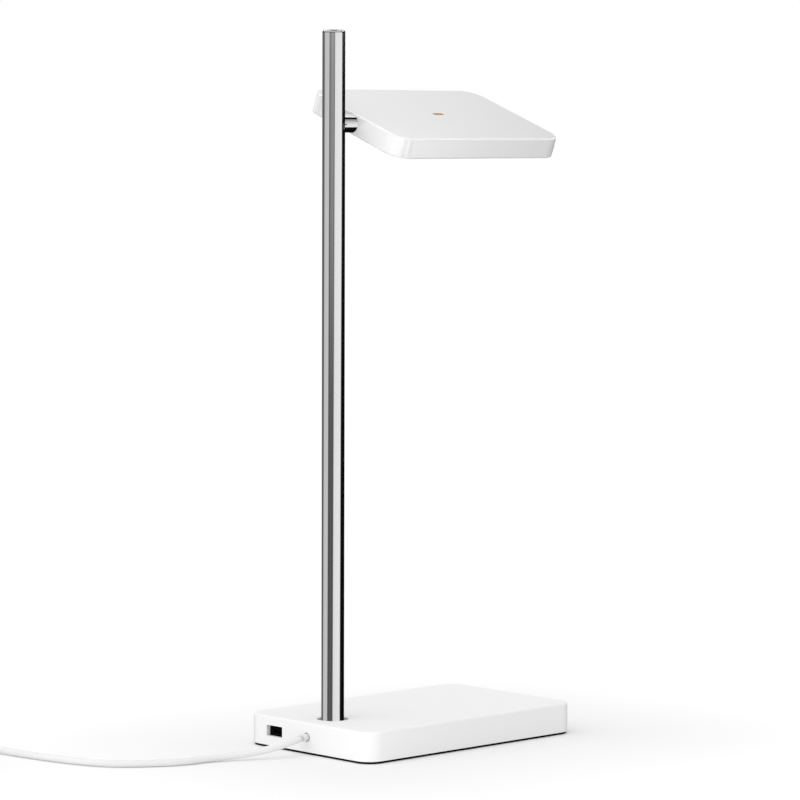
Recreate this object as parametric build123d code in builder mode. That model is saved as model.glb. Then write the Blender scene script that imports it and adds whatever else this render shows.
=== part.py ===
from build123d import *
import os
from math import cos, dist, pi, radians, sin, sqrt, tan

# A desk lamp: a weighted white base with a charging socket, a chromed column that swivels in it,
# and a flat light head that rolls about a short stem on the column. Millimetres, +Z up.
# The origin is on the table, under the middle of the base. +X runs from the column to the far end.

os.makedirs("parts", exist_ok=True)

# Base
base_length = 205.5
base_width = 126.7
base_height = 22.4
base_corner = 12.5
base_edge = 1.5
pad_thickness = 1.5
pad_inset = 1.0
housing_wall = 2.5
housing_top = 3.0
plate_thickness = 2.5
plate_gap = 0.3
ballast_height = 10.5
ballast_corner = 5.0
ballast_end_gap = 19.0
ballast_side_gap = 1.85
ballast_board_gap = 7.2
boss_diameter = 8.0
corner_boss_inset = 10.0
side_boss_inset = 7.5

# Screws
screw_shank = 3.0
screw_head = 5.6
screw_head_height = 1.6
screw_gap = 0.1
screw_length = 10.0
small_shank = 2.0
small_head = 3.8
small_head_height = 1.3

# Column and its swivel in the base
column_diameter = 16.0
column_bore = 13.0
column_setback = 24.85
column_height = 506.0
pivot_drop = 65.1
column_opening = 21.9
opening_edge = 0.3
cap_thickness = 2.3
cap_rounding = 1.9
cap_plug = 8.0
press_gap = 0.02
running_gap = 0.05
block_length = 30.0
block_width_share = 0.363
block_foot = 4.0
block_corner = 4.0
barrel_diameter = 30.0
barrel_bore = 24.0
bush_length = 3.0
bush_flange = 1.0
bush_flange_diameter = 27.0
bush_headroom = 0.2
lug_height = 1.45
lug_room = 0.2
lug_width = 2.5
lug_reach = 11.6
dowel_diameter = 2.5
dowel_radius = 10.2
dowel_seat = 1.7
thrust_washer_thickness = 0.8
block_floor = 2.5
stud_diameter = 10.0
stud_below_nut = 0.4
stud_gap = 0.1
nut_pocket = 20.0
nut_across_flats = 15.0
nut_thickness = 3.5
spring_height = 1.2
spring_thickness = 0.6
spring_diameter = 18.0
foot_spigot = 18.0
lead_hole = 5.0
bearing_screw_x = 9.0
bearing_screw_inset = 4.5

# Power board and charging socket
usb_wire_room = 3.75
usb_cut_width = 16.3
usb_cut_height = 7.9
usb_cut_corner = 0.6
usb_depth = 3.3
usb_frame = 1.6
usb_width = 13.1
usb_height = 5.7
usb_length = 14.0
usb_sheet = 0.3
usb_gasket = 1.0
usb_gasket_border = 1.4
tongue_width = 11.1
tongue_thickness = 1.8
tongue_drop = 0.6
tongue_setback = 1.5
usb_back = 4.5
contact_width = 1.1
contact_thickness = 0.2
contact_length = 6.0
contact_pitch = 2.5
board_length = 51.0
board_boss_gap = 0.85
board_thickness = 1.6
board_end_gap = 0.25
board_side_gap = 0.5
board_screw_inset = 3.5
board_screw_setback = 18.5
standoff_diameter = 5.0
connector_length = 6.0
connector_width = 6.0
connector_height = 5.0
connector_inset = 10.5
inductor_offset = 7.0
inductor_diameter = 9.0
inductor_height = 5.0
capacitor_diameter = 6.3
capacitor_height = 7.5
capacitor_gap = 1.3
chip_length = 6.0
chip_width = 5.0
chip_height = 1.5

# Leads inside the lamp
lead_diameter = 2.2
lead_bend = 4.0
lead_slot = 5.0
lead_clear = 0.15
core_diameter = 1.4
core_bend = 1.2
core_spread = 1.9

# Cord, its strain relief, coil and plug-in adapter
cord_diameter = 5.0
cord_hole = 6.5
boot_root = 5.3
boot_tip = 5.1
boot_length = 5.5
boot_straight = 6.5
boot_flange = 10.0
boot_flange_thickness = 1.5
boot_neck = 5.6
boot_neck_length = 2.0
anchor_width = 14.0
anchor_gap = 0.1
coil_centre = (-300.0, 205.0)
coil_inner_radius = 20.0
coil_pitch = 5.6
coil_turns_each_way = 3.5
coil_climb_turns = 0.5
coil_exit_run = 20.0
tie_width = 11.0
tie_thickness = 0.6
tie_gap = 0.15
adapter_length = 52.0
adapter_width = 34.0
adapter_height = 26.0
adapter_edge = 4.0
adapter_boot_length = 18.0
adapter_boot_root = 8.0
adapter_boot_tip = 5.6
blade_length = 16.0
blade_width = 6.3
blade_thickness = 1.5
blade_pitch = 12.7

# Head and its pivot
head_roll = 20.5
head_gap = 9.6
head_length = 163.0
head_width = 101.2
head_thickness = 14.9
head_corner = 14.8
head_edge = 1.2
head_wall = 3.2
head_top = 2.2
head_lip = 2.2
diffuser_thickness = 2.0
diffuser_inset = 0.4
diffuser_gap = 0.25
stub_diameter = 12.6
stub_rim_gap = 0.35
spigot_diameter = 8.0
journal_diameter = 6.0
stem_bore = 3.4
stem_tail = 1.2
insert_length = 26.0
insert_lead_offset = 3.0
insert_lead_hole = 4.4
sleeve_diameter = 8.0
sleeve_proud = 0.3
bracket_width = 20.0
bracket_half_height = 4.8
bracket_cheek = 6.2
bracket_window = 3.2
stop_pin_diameter = 1.5
stop_pin_reach = 4.5
stop_bar_width = 1.6
stop_bar_height = 1.1
ear_span = 40.0
ear_length = 10.0
ear_thickness = 2.5
pivot_disc_diameter = 9.6
pivot_washer_thickness = 0.6
pivot_spring_height = 1.1
pivot_spring_thickness = 0.4
pivot_ring_thickness = 0.8
pivot_groove_depth = 0.5
pivot_ring_opening = 60.0

# Light source and switch
light_setback = 29.4
light_end_gap = 5.6
light_side_gap = 6.6
spreader_thickness = 1.2
led_board_thickness = 1.2
led_size = 3.0
led_height = 0.8
led_rows = 4
led_columns = 6
light_screw_inset = 6.0
light_notch_length = 11.0
light_notch_width = 10.0
led_plug_length = 5.0
led_plug_width = 6.0
led_plug_height = 3.6
led_plug_setback = 4.0
key_length = 9.6
key_width = 2.8
key_gap = 0.2
key_proud = 0.1
key_travel = 0.5
key_flange = 1.5
key_flange_thickness = 1.0
key_headroom = 0.1
switch_side = 6.2
switch_window = 8.0
switch_height = 3.2
plunger_diameter = 3.0
plunger_gap = 0.15
plunger_length = 2.0

# Levels and places that follow from those sizes
half_length = base_length / 2
half_width = base_width / 2
end_x = -half_length
inner_end_x = end_x + housing_wall
plate_top = pad_thickness + plate_thickness
ceiling = base_height - housing_top
mid_height = (pad_thickness + base_height) / 2
column_x = end_x + column_setback
column_radius = column_diameter / 2
pivot_height = column_height - pivot_drop
block_width = base_width * block_width_share

bush_top = ceiling - bush_headroom
block_top = bush_top - bush_flange
bush_bottom = block_top - bush_length
tube_bottom = bush_bottom - lug_room
flange_bottom = tube_bottom - lug_height
thrust_top = flange_bottom - running_gap
floor_top = thrust_top - thrust_washer_thickness
floor_bottom = floor_top - block_floor
nut_top = floor_bottom - spring_height - 2 * running_gap
nut_bottom = nut_top - nut_thickness
stud_bottom = nut_bottom - stud_below_nut

usb_face_x = end_x + usb_depth
board_top = mid_height - usb_height / 2
board_bottom = board_top - board_thickness
board_x = usb_face_x + usb_gasket + board_end_gap + board_length / 2
board_edge_y = block_width / 2 + board_side_gap
board_width = half_width - corner_boss_inset - boss_diameter / 2 - board_boss_gap - board_edge_y
board_y = board_edge_y + board_width / 2
usb_y = board_edge_y + usb_wire_room + usb_width / 2
connector_x = board_x + board_length / 2 - connector_inset
connector_face_y = board_edge_y + board_screw_inset

rim_x = column_radius + head_gap
stub_end = rim_x - stub_rim_gap
head_inner_x = rim_x + head_wall
sleeve_start = rim_x - sleeve_proud
bracket_start = head_inner_x + screw_gap
window_start = bracket_start + bracket_cheek
window_end = window_start + bracket_window
bracket_end = window_end + bracket_cheek
sleeve_end = bracket_end + sleeve_proud
washer_start = sleeve_end + running_gap
spring_start = washer_start + pivot_washer_thickness + running_gap
ring_start = spring_start + pivot_spring_height + running_gap
ring_end = ring_start + pivot_ring_thickness
stem_end = ring_end + stem_tail

head_mid_x = rim_x + head_length / 2
head_ceiling = head_thickness / 2 - head_top
diffuser_bottom = diffuser_inset - head_thickness / 2
diffuser_top = diffuser_bottom + diffuser_thickness
light_start = rim_x + light_setback
light_end = rim_x + head_length - light_end_gap
light_length = light_end - light_start
light_width = head_width - 2 * light_side_gap
light_mid_x = (light_start + light_end) / 2
led_plug_x = light_start + led_plug_setback + led_plug_length / 2

UPWARD = (Align.CENTER, Align.CENTER, Align.MIN)
head_plane = Plane(
    origin=(column_x, 0, pivot_height),
    x_dir=(1, 0, 0),
    z_dir=(0, -sin(radians(head_roll)), cos(radians(head_roll))),
)


def save(piece, name):
    """Labels a finished piece and writes its file."""
    piece.label = name
    export_step(piece, f"parts/{name}.step")


def across(x):
    """The plane square to X at x: its own axes run along Y and Z."""
    return Plane(origin=(x, 0, 0), x_dir=(0, 1, 0), z_dir=(1, 0, 0))


def on_stem(x):
    """The plane square to the stem, x from the column's axis."""
    return Plane(origin=(column_x + x, 0, pivot_height), x_dir=(0, 1, 0), z_dir=(1, 0, 0))


def ring(plane, outer, inner, thickness):
    """A flat ring on the plane, in the part being built."""
    with BuildSketch(plane) as outline:
        Circle(outer / 2)
        Circle(inner / 2, mode=Mode.SUBTRACT)
    extrude(outline.sketch, amount=thickness)


def disc(plane, diameter, thickness, mode=Mode.ADD):
    """A round bar or hole on the plane, in the part being built."""
    with BuildSketch(plane) as outline:
        Circle(diameter / 2)
    extrude(outline.sketch, amount=thickness, mode=mode)


def slab(plane, places, length, width, corner, thickness, mode=Mode.ADD):
    """Rounded slabs at places on the plane, in the part being built."""
    with BuildSketch(plane) as outline:
        with Locations(*places):
            RectangleRounded(length, width, corner)
    extrude(outline.sketch, amount=thickness, mode=mode)


def pins(plane, places, diameter, length, mode=Mode.ADD):
    """Round pins or holes at places on the plane, in the part being built."""
    with BuildSketch(plane) as outline:
        with Locations(*places):
            Circle(diameter / 2)
    extrude(outline.sketch, amount=length, mode=mode)


def flush_screws(places, reach):
    """Countersunk screws with their heads in the underside of the base plate."""
    with BuildPart() as screws:
        with Locations(*[(x, y, pad_thickness) for x, y in places]):
            Cone(screw_head / 2, screw_shank / 2, screw_head_height, align=UPWARD)
            Cylinder(screw_shank / 2, reach, align=UPWARD)
    return screws.part


def cut_flush_holes(places):
    """Countersunk holes through the base plate for those screws."""
    wide = screw_head / 2 + screw_gap
    narrow = screw_shank / 2 + screw_gap
    with Locations(*[(x, y, pad_thickness) for x, y in places]):
        Cone(wide, narrow, screw_head_height, align=UPWARD, mode=Mode.SUBTRACT)
        Cylinder(narrow, plate_thickness, align=UPWARD, mode=Mode.SUBTRACT)


def tube(points, radii, diameter):
    """A round lead along straight runs and tangent arcs, in the part being built."""
    with BuildLine() as path:
        FilletPolyline(*points, radius=radii)
    with BuildSketch(Plane(path.line @ 0, z_dir=path.line % 0)) as section:
        Circle(diameter / 2)
    sweep(sections=section.sketch, path=path.line)
    return path.wires()[0]


# Base pieces

corner_bosses = [
    (sx * (half_length - corner_boss_inset), sy * (half_width - corner_boss_inset))
    for sx in (-1, 1)
    for sy in (-1, 1)
]
side_bosses = [(0, sy * (half_width - side_boss_inset)) for sy in (-1, 1)]
boss_places = corner_bosses + side_bosses
ballast_start = board_x + board_length / 2 + ballast_board_gap
ballast_length = half_length - ballast_end_gap - ballast_start
ballast_x = ballast_start + ballast_length / 2
ballast_width = 2 * (half_width - side_boss_inset - boss_diameter / 2 - ballast_side_gap)
ballast_places = [
    (ballast_x + sx * ballast_length / 4, sy * ballast_width / 4) for sx in (-1, 1) for sy in (-1, 1)
]
bearing_places = [
    (column_x + sx * bearing_screw_x, sy * (block_width / 2 - bearing_screw_inset))
    for sx in (-1, 1)
    for sy in (-1, 1)
]
tapped = screw_shank + 2 * screw_gap

with BuildPart() as base_housing:
    with BuildSketch(Plane.XY.offset(pad_thickness)):
        RectangleRounded(base_length, base_width, base_corner)
    extrude(amount=base_height - pad_thickness)
    fillet(base_housing.edges().group_by(Axis.Z)[-1], base_edge)
    slab(
        Plane.XY.offset(pad_thickness),
        [(0, 0)],
        base_length - 2 * housing_wall,
        base_width - 2 * housing_wall,
        base_corner - housing_wall,
        ceiling - pad_thickness,
        Mode.SUBTRACT,
    )
    pins(Plane.XY.offset(plate_top), boss_places, boss_diameter, ceiling - plate_top)
    pins(Plane.XY.offset(plate_top), boss_places, tapped, screw_length, Mode.SUBTRACT)
    with BuildSketch(across(end_x)):
        with Locations((usb_y, mid_height)):
            Rectangle(usb_cut_width + 2 * usb_frame, usb_cut_height + 2 * usb_frame)
    extrude(amount=usb_depth)
    slab(
        across(end_x),
        [(usb_y, mid_height)],
        usb_cut_width,
        usb_cut_height,
        usb_cut_corner,
        usb_depth,
        Mode.SUBTRACT,
    )
    pins(across(end_x), [(0, mid_height)], cord_hole, housing_wall, Mode.SUBTRACT)
    pins(Plane.XY.offset(ceiling), [(column_x, 0)], column_opening, housing_top, Mode.SUBTRACT)
    rims = base_housing.edges().filter_by(GeomType.CIRCLE).group_by(Axis.Z)[-1]
    fillet(rims.filter_by(lambda e: abs(e.radius - column_opening / 2) < 1e-3), opening_edge)
save(base_housing.part, "base_housing")

with BuildPart() as base_plate:
    inset = housing_wall + plate_gap
    slab(
        Plane.XY.offset(pad_thickness),
        [(0, 0)],
        base_length - 2 * inset,
        base_width - 2 * inset,
        base_corner - inset,
        plate_thickness,
    )
    cut_flush_holes(boss_places + ballast_places + bearing_places)
    pins(Plane.XY.offset(pad_thickness), [(column_x, 0)], nut_pocket, plate_thickness, Mode.SUBTRACT)
    with BuildSketch(Plane.XY.offset(pad_thickness)):
        with Locations(((column_x + connector_x) / 2, 0)):
            SlotCenterToCenter(connector_x - column_x, lead_slot)
    extrude(amount=plate_thickness, mode=Mode.SUBTRACT)
save(base_plate.part, "base_plate")

with BuildPart() as foot_pad:
    slab(
        Plane.XY,
        [(0, 0)],
        base_length - 2 * pad_inset,
        base_width - 2 * pad_inset,
        base_corner - pad_inset,
        pad_thickness,
    )
save(foot_pad.part, "foot_pad")

with BuildPart() as ballast:
    slab(
        Plane.XY.offset(plate_top),
        [(ballast_x, 0)],
        ballast_length,
        ballast_width,
        ballast_corner,
        ballast_height,
    )
    chamfer(ballast.edges().group_by(Axis.Z)[-1], screw_head_height / 2)
    pins(Plane.XY.offset(plate_top), ballast_places, tapped, screw_length - plate_thickness, Mode.SUBTRACT)
save(ballast.part, "ballast")

save(flush_screws(boss_places, screw_length), "base_screws")
save(flush_screws(ballast_places, screw_length - plate_thickness), "ballast_screws")
save(flush_screws(bearing_places, plate_thickness + block_foot), "bearing_screws")

# Swivel bearing of the column

with BuildPart() as bearing_block:
    seat = Plane.XY.offset(plate_top)
    slab(seat, [(column_x, 0)], block_length, block_width, block_corner, block_foot)
    pins(seat, [(column_x, 0)], barrel_diameter, block_top - plate_top)
    pins(Plane.XY.offset(floor_top), [(column_x, 0)], barrel_bore, block_top - floor_top, Mode.SUBTRACT)
    pins(seat, [(column_x, 0)], nut_pocket, floor_bottom - plate_top, Mode.SUBTRACT)
    pins(
        Plane.XY.offset(floor_bottom),
        [(column_x, 0)],
        stud_diameter + 2 * stud_gap,
        block_floor,
        Mode.SUBTRACT,
    )
    pins(seat, bearing_places, tapped, block_foot, Mode.SUBTRACT)
    pins(
        Plane.XY.offset(floor_top - dowel_seat),
        [(column_x - dowel_radius, 0)],
        dowel_diameter + 2 * press_gap,
        dowel_seat,
        Mode.SUBTRACT,
    )
save(bearing_block.part, "bearing_block")

with BuildPart() as swivel_bush:
    bore = column_diameter + 2 * running_gap
    over_column = Plane(origin=(column_x, 0, bush_bottom))
    ring(over_column, barrel_bore - 2 * press_gap, bore, bush_length)
    ring(over_column.offset(bush_length), bush_flange_diameter, bore, bush_flange)
save(swivel_bush.part, "swivel_bush")

with BuildPart() as thrust_washer:
    ring(
        Plane(origin=(column_x, 0, floor_top)),
        column_diameter,
        stud_diameter + 2 * stud_gap,
        thrust_washer_thickness,
    )
save(thrust_washer.part, "thrust_washer")

with BuildPart() as stop_dowel:
    disc(
        Plane(origin=(column_x - dowel_radius, 0, floor_top - dowel_seat)),
        dowel_diameter,
        dowel_seat + tube_bottom - floor_top,
    )
save(stop_dowel.part, "stop_dowel")

# Power board with the charging socket

board_screw_places = [
    (board_x + board_length / 2 - board_screw_inset, board_y - board_width / 2 + board_screw_inset),
    (board_x + board_length / 2 - board_screw_inset, board_y + board_width / 2 - board_screw_inset),
    (board_x - board_length / 2 + board_screw_setback, board_y - board_width / 2 + board_screw_inset),
    (board_x - board_length / 2 + board_screw_setback, board_y + board_width / 2 - board_screw_inset),
]
small_tapped = small_shank + 2 * screw_gap

with BuildPart() as board_standoffs:
    pins(Plane.XY.offset(plate_top), board_screw_places, standoff_diameter, board_bottom - plate_top)
    pins(
        Plane.XY.offset(plate_top),
        board_screw_places,
        small_tapped,
        board_bottom - plate_top,
        Mode.SUBTRACT,
    )
save(board_standoffs.part, "board_standoffs")

with BuildPart() as power_board:
    slab(
        Plane.XY.offset(board_bottom),
        [(board_x, board_y)],
        board_length,
        board_width,
        screw_gap,
        board_thickness,
    )
    pins(Plane.XY.offset(board_bottom), board_screw_places, small_tapped, board_thickness, Mode.SUBTRACT)
save(power_board.part, "power_board")

with BuildPart() as board_screws:
    pins(Plane.XY.offset(board_top), board_screw_places, small_head, small_head_height)
    pins(Plane.XY.offset(plate_top), board_screw_places, small_shank, board_top - plate_top)
save(board_screws.part, "board_screws")

with BuildPart() as usb_shell:
    with BuildSketch(across(usb_face_x)):
        with Locations((usb_y, mid_height)):
            Rectangle(usb_width, usb_height)
            Rectangle(usb_width - 2 * usb_sheet, usb_height - 2 * usb_sheet, mode=Mode.SUBTRACT)
    extrude(amount=usb_length)
save(usb_shell.part, "usb_shell")

with BuildPart() as usb_gasket_ring:
    with BuildSketch(across(usb_face_x)):
        with Locations((usb_y, mid_height)):
            Rectangle(usb_cut_width + 2 * usb_gasket_border, usb_cut_height + 2 * usb_gasket_border)
            Rectangle(usb_width + 2 * screw_gap, usb_height + 2 * screw_gap, mode=Mode.SUBTRACT)
    extrude(amount=usb_gasket)
save(usb_gasket_ring.part, "usb_gasket")

tongue_top = board_top + usb_height - usb_sheet - tongue_drop
tongue_level = tongue_top - tongue_thickness
tongue_face = usb_face_x + tongue_setback
usb_back_x = usb_face_x + usb_length - usb_back
with BuildPart() as usb_tongue:
    with BuildSketch(across(tongue_face)):
        with Locations((usb_y, tongue_level + tongue_thickness / 2)):
            Rectangle(tongue_width, tongue_thickness)
    extrude(amount=usb_back_x - tongue_face)
    inner_width = usb_width - 2 * usb_sheet - 2 * press_gap
    inner_height = usb_height - 2 * usb_sheet - 2 * press_gap
    with BuildSketch(across(usb_back_x)):
        with Locations((usb_y, mid_height)):
            Rectangle(inner_width, inner_height)
    extrude(amount=usb_back)
save(usb_tongue.part, "usb_tongue")

with BuildPart() as usb_contacts:
    with BuildSketch(across(tongue_face + screw_head_height / 2)):
        with Locations((usb_y, tongue_level - contact_thickness / 2)):
            with GridLocations(contact_pitch, 0, 4, 1):
                Rectangle(contact_width, contact_thickness)
    extrude(amount=contact_length)
save(usb_contacts.part, "usb_contacts")

with BuildPart() as lead_connector:
    slab(
        Plane.XY.offset(board_top),
        [(connector_x, connector_face_y + connector_width / 2)],
        connector_length,
        connector_width,
        screw_gap,
        connector_height,
    )
save(lead_connector.part, "lead_connector")

with BuildPart() as power_inductor:
    disc(Plane(origin=(board_x + inductor_offset, board_y, board_top)), inductor_diameter, inductor_height)
    fillet(power_inductor.edges().group_by(Axis.Z)[-1], screw_head_height / 2)
save(power_inductor.part, "power_inductor")

capacitor_x = usb_face_x + usb_length + capacitor_gap + capacitor_diameter / 2
capacitor_y = board_y + board_width / 2 - capacitor_diameter / 2 - screw_gap
with BuildPart() as power_capacitors:
    pins(
        Plane.XY.offset(board_top),
        [(capacitor_x, board_y), (connector_x, capacitor_y)],
        capacitor_diameter,
        capacitor_height,
    )
    chamfer(power_capacitors.edges().group_by(Axis.Z)[-1], small_head_height / 3)
save(power_capacitors.part, "power_capacitors")

with BuildPart() as driver_chips:
    slab(
        Plane.XY.offset(board_top),
        [(board_x, board_y - chip_width), (board_x, board_y + chip_width)],
        chip_length,
        chip_width,
        screw_gap,
        chip_height,
    )
save(driver_chips.part, "driver_chips")

# Cord entry: a tapered strain relief held in a slotted anchor

boot_inner_x = inner_end_x + boot_flange_thickness + boot_neck_length
with BuildPart() as cord_boot:
    with BuildSketch(Plane.XZ):
        with BuildLine():
            Polyline(
                (boot_inner_x, mid_height),
                (boot_inner_x, mid_height + boot_neck / 2),
                (inner_end_x + boot_flange_thickness, mid_height + boot_neck / 2),
                (inner_end_x + boot_flange_thickness, mid_height + boot_flange / 2),
                (inner_end_x, mid_height + boot_flange / 2),
                (inner_end_x, mid_height + boot_root / 2),
                (end_x, mid_height + boot_root / 2),
                (end_x - boot_length, mid_height + boot_tip / 2),
                (end_x - boot_length, mid_height),
                close=True,
            )
        make_face()
    revolve(axis=Axis((0, 0, mid_height), (1, 0, 0)))
save(cord_boot.part, "cord_boot")

with BuildPart() as cord_anchor:
    anchor_x = inner_end_x + boot_flange_thickness + anchor_gap
    slot_width = boot_neck + 2 * anchor_gap
    with BuildSketch(across(anchor_x)):
        with Locations((0, (plate_top + mid_height) / 2 + boot_neck / 4)):
            Rectangle(anchor_width, mid_height - plate_top + boot_neck / 2)
        with Locations((0, mid_height)):
            Circle(slot_width / 2, mode=Mode.SUBTRACT)
        with Locations((0, mid_height + boot_neck / 2)):
            Rectangle(slot_width, boot_neck, mode=Mode.SUBTRACT)
    extrude(amount=boot_neck_length - 2 * anchor_gap)
save(cord_anchor.part, "cord_anchor")

core_x = boot_inner_x + core_diameter
with BuildPart() as supply_wires:
    for step in (0, 1):
        level = mid_height + (step - 0.5) * core_spread
        land_y = board_edge_y + core_diameter * (0.7 + 1.2 * step)
        core_route = [
            (boot_inner_x, 0, level),
            (core_x, 0, level),
            (core_x, land_y, level),
            (core_x, land_y, board_top),
        ]
        tube(core_route, core_bend, core_diameter)
save(supply_wires.part, "supply_wires")

# Lead from the board to the column's axis, along a slot in the plate

lead_low = pad_thickness + lead_clear + lead_diameter / 2
lead_high = board_top + connector_height / 2
lead_meet = lead_low + lead_bend + running_gap
lead_drop_bend = 0.45 * (lead_high - lead_low)
with BuildPart() as base_lead:
    tube(
        [
            (connector_x, connector_face_y, lead_high),
            (connector_x, 0, lead_high),
            (connector_x, 0, lead_low),
            (column_x, 0, lead_low),
            (column_x, 0, lead_meet),
        ],
        [lead_drop_bend, lead_drop_bend, lead_bend],
        lead_diameter,
    )
save(base_lead.part, "base_lead")

# Column pieces

tube_top = column_height - cap_thickness
with BuildPart() as column_tube:
    ring(Plane(origin=(column_x, 0, tube_bottom)), column_diameter, column_bore, tube_top - tube_bottom)
    disc(on_stem(0), spigot_diameter + 2 * screw_gap, column_diameter, Mode.SUBTRACT)
save(column_tube.part, "column_tube")

with BuildPart() as column_cap:
    disc(Plane(origin=(column_x, 0, tube_top)), column_diameter, cap_thickness)
    fillet(column_cap.edges().group_by(Axis.Z)[-1], cap_rounding)
    disc(Plane(origin=(column_x, 0, tube_top - cap_plug)), column_bore - 2 * press_gap, cap_plug)
save(column_cap.part, "column_cap")

with BuildPart() as column_foot:
    over_floor = Plane(origin=(column_x, 0, flange_bottom))
    disc(over_floor, column_diameter, lug_height)
    slab(over_floor, [(lug_reach / 2, 0)], lug_reach, lug_width, screw_gap, lug_height)
    disc(over_floor.offset(stud_bottom - flange_bottom), stud_diameter, flange_bottom - stud_bottom)
    disc(over_floor.offset(lug_height), column_bore - 2 * press_gap, foot_spigot)
    disc(
        over_floor.offset(stud_bottom - flange_bottom),
        lead_hole,
        foot_spigot + tube_bottom - stud_bottom,
        Mode.SUBTRACT,
    )
save(column_foot.part, "column_foot")

with BuildPart() as foot_nut:
    with BuildSketch(Plane(origin=(column_x, 0, nut_bottom))):
        RegularPolygon(nut_across_flats / 2, 6, major_radius=False)
        Circle(stud_diameter / 2 + press_gap, mode=Mode.SUBTRACT)
    extrude(amount=nut_thickness)
save(foot_nut.part, "foot_nut")


def cone_spring(plane, outer, inner, height, thickness):
    """A dished spring washer that stands on its rim on the plane, in the part being built."""
    rise = height - thickness
    with BuildSketch(Plane(plane.origin, x_dir=plane.x_dir, z_dir=-plane.y_dir)) as profile:
        with BuildLine():
            Polyline(
                (outer / 2, 0),
                (outer / 2, thickness),
                (inner / 2, rise + thickness),
                (inner / 2, rise),
                close=True,
            )
        make_face()
    revolve(profile.sketch, axis=Axis(plane.origin, plane.z_dir))


with BuildPart() as spring_washer:
    cone_spring(
        Plane(origin=(column_x, 0, nut_top + running_gap)),
        spring_diameter,
        stud_diameter + 2 * stud_gap,
        spring_height,
        spring_thickness,
    )
save(spring_washer.part, "spring_washer")

with BuildPart() as column_insert:
    disc(
        Plane(origin=(column_x, 0, pivot_height - insert_length / 2)),
        column_bore - 2 * press_gap,
        insert_length,
    )
    disc(on_stem(-press_gap), spigot_diameter + 2 * press_gap, column_bore, Mode.SUBTRACT)
    disc(
        Plane(origin=(column_x - insert_lead_offset, 0, pivot_height - insert_length / 2)),
        insert_lead_hole,
        insert_length / 2 + insert_lead_hole / 4,
        Mode.SUBTRACT,
    )
    disc(on_stem(-insert_lead_offset), insert_lead_hole, insert_lead_offset, Mode.SUBTRACT)
save(column_insert.part, "column_insert")

with BuildPart() as pivot_stem:
    disc(on_stem(0), stub_diameter, stub_end)
    disc(
        Plane(origin=(column_x, 0, pivot_height - stub_diameter)),
        column_diameter + 2 * press_gap,
        2 * stub_diameter,
        Mode.SUBTRACT,
    )
    disc(on_stem(0), spigot_diameter, stub_end)
    disc(on_stem(stub_end), journal_diameter, stem_end - stub_end)
    disc(on_stem(0), stem_bore, stem_end, Mode.SUBTRACT)
    with BuildSketch(on_stem(ring_start)):
        Circle(journal_diameter / 2)
        Circle(journal_diameter / 2 - pivot_groove_depth, mode=Mode.SUBTRACT)
    extrude(amount=pivot_ring_thickness, mode=Mode.SUBTRACT)
    with BuildSketch(Plane(origin=(column_x + (window_start + window_end) / 2, 0, pivot_height))):
        Circle(stop_pin_diameter / 2 + press_gap)
    extrude(amount=journal_diameter, mode=Mode.SUBTRACT)
save(pivot_stem.part, "pivot_stem")

with BuildPart() as stop_pin:
    disc(
        Plane(origin=(column_x + (window_start + window_end) / 2, 0, pivot_height + stem_bore / 2)),
        stop_pin_diameter,
        stop_pin_reach - stem_bore / 2,
    )
save(stop_pin.part, "stop_pin")

lead_elbow = 1.5 * lead_diameter + running_gap
with BuildPart() as column_lead:
    tube(
        [
            (column_x, 0, lead_meet + running_gap),
            (column_x, 0, tube_bottom + foot_spigot + lead_hole),
            (column_x - insert_lead_offset, 0, pivot_height / 2),
            (column_x - insert_lead_offset, 0, pivot_height),
            (column_x + stem_end, 0, pivot_height),
        ],
        [column_height / 4, column_height / 4, lead_elbow],
        lead_diameter,
    )
save(column_lead.part, "column_lead")

with BuildPart() as pivot_washer:
    ring(
        on_stem(washer_start),
        pivot_disc_diameter,
        journal_diameter + 2 * running_gap,
        pivot_washer_thickness,
    )
save(pivot_washer.part, "pivot_washer")

with BuildPart() as pivot_spring:
    cone_spring(
        on_stem(spring_start),
        pivot_disc_diameter,
        journal_diameter + 2 * running_gap,
        pivot_spring_height,
        pivot_spring_thickness,
    )
save(pivot_spring.part, "pivot_spring")

with BuildPart() as pivot_ring:
    with BuildSketch(on_stem(ring_start)):
        Circle(pivot_disc_diameter / 2)
        Circle(journal_diameter / 2 - pivot_groove_depth + press_gap, mode=Mode.SUBTRACT)
        with BuildLine():
            reach = pivot_disc_diameter
            half_opening = radians(pivot_ring_opening / 2)
            Polyline(
                (0, 0),
                (-reach * sin(half_opening), -reach * cos(half_opening)),
                (reach * sin(half_opening), -reach * cos(half_opening)),
                close=True,
            )
        make_face(mode=Mode.SUBTRACT)
    extrude(amount=pivot_ring_thickness)
save(pivot_ring.part, "pivot_ring")

# Head pieces, in the head's own rolled plane

light_screw_places = [
    (light_mid_x + sx * (light_length / 2 - light_screw_inset), sy * (light_width / 2 - light_screw_inset))
    for sx in (-1, 1)
    for sy in (-1, 1)
]
ear_x = (bracket_start + bracket_end) / 2
ear_hole_y = ear_span / 2 - small_head / 2 - screw_gap
ear_places = [(ear_x, -ear_hole_y), (ear_x, ear_hole_y)]
ear_top = ear_thickness / 2
screw_tip = head_ceiling - screw_gap

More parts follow.
